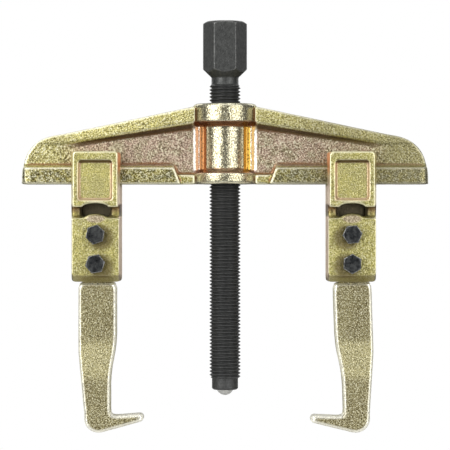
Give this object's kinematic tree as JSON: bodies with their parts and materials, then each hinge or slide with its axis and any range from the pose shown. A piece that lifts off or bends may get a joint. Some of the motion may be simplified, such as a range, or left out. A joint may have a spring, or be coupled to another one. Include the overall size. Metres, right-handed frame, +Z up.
{
  "type": "two-jaw gear puller",
  "caption": "Two-jaw sliding-arm puller: forged beam with a threaded hub, forcing screw with a hex head, and hooked jaws on carriages that slide along the beam.",
  "frame": {"origin": "on the axis of the forcing screw, at the level of the lowest point of the hooks, midway between front and back", "axes": "+Z up along the forcing screw towards its hex head, +X along the beam towards the right jaw, -Y towards the bolt heads"},
  "size_m": [0.233, 0.046, 0.2364],
  "materials": {
    "beam_zinc": "forged steel, yellow zinc passivated",
    "slide_zinc": "forged steel, yellow zinc passivated",
    "jaw_zinc": "forged steel, pale zinc passivated",
    "screw_steel": "oiled black oxide, worn at the edges",
    "ball_steel": "polished",
    "black_oxide": "black oxide"
  },
  "bodies": {
    "beam_body": {"beam": "beam_zinc"},
    "tip_body": {"tip_ball": "ball_steel"},
    "screw_body": {"spindle": "screw_steel"},
    "left_carriage": {"left_slide_front": "slide_zinc", "left_slide_back": "slide_zinc", "left_jaw": "jaw_zinc", "left_bolt_upper": "black_oxide", "left_bolt_lower": "black_oxide", "left_washer_upper": "black_oxide", "left_washer_lower": "black_oxide", "left_nut_upper": "black_oxide", "left_nut_lower": "black_oxide"},
    "right_carriage": {"right_slide_front": "slide_zinc", "right_slide_back": "slide_zinc", "right_jaw": "jaw_zinc", "right_bolt_upper": "black_oxide", "right_bolt_lower": "black_oxide", "right_washer_upper": "black_oxide", "right_washer_lower": "black_oxide", "right_nut_upper": "black_oxide", "right_nut_lower": "black_oxide"}
  },
  "joints": [
    {"name": "screw_travel", "type": "slide", "parent": "beam_body", "child": "tip_body", "axis": [0, 0, 1], "range_m": [-0.011, 0.104]},
    {"name": "screw_turn", "type": "hinge", "parent": "tip_body", "child": "screw_body", "pos_m": [0, 0, 0.1], "axis": [0, 0, 1], "range_deg": [-1981, 18721]},
    {"name": "left_slide", "type": "slide", "parent": "beam_body", "child": "left_carriage", "axis": [1, 0, 0], "range_m": [-0.0242, 0.0283]},
    {"name": "right_slide", "type": "slide", "parent": "beam_body", "child": "right_carriage", "axis": [1, 0, 0], "range_m": [-0.0269, 0.0256]}
  ],
  "couplings": [
    {"joint": "screw_turn", "follows": "screw_travel", "rad_per_m": 3141.6}
  ]
}
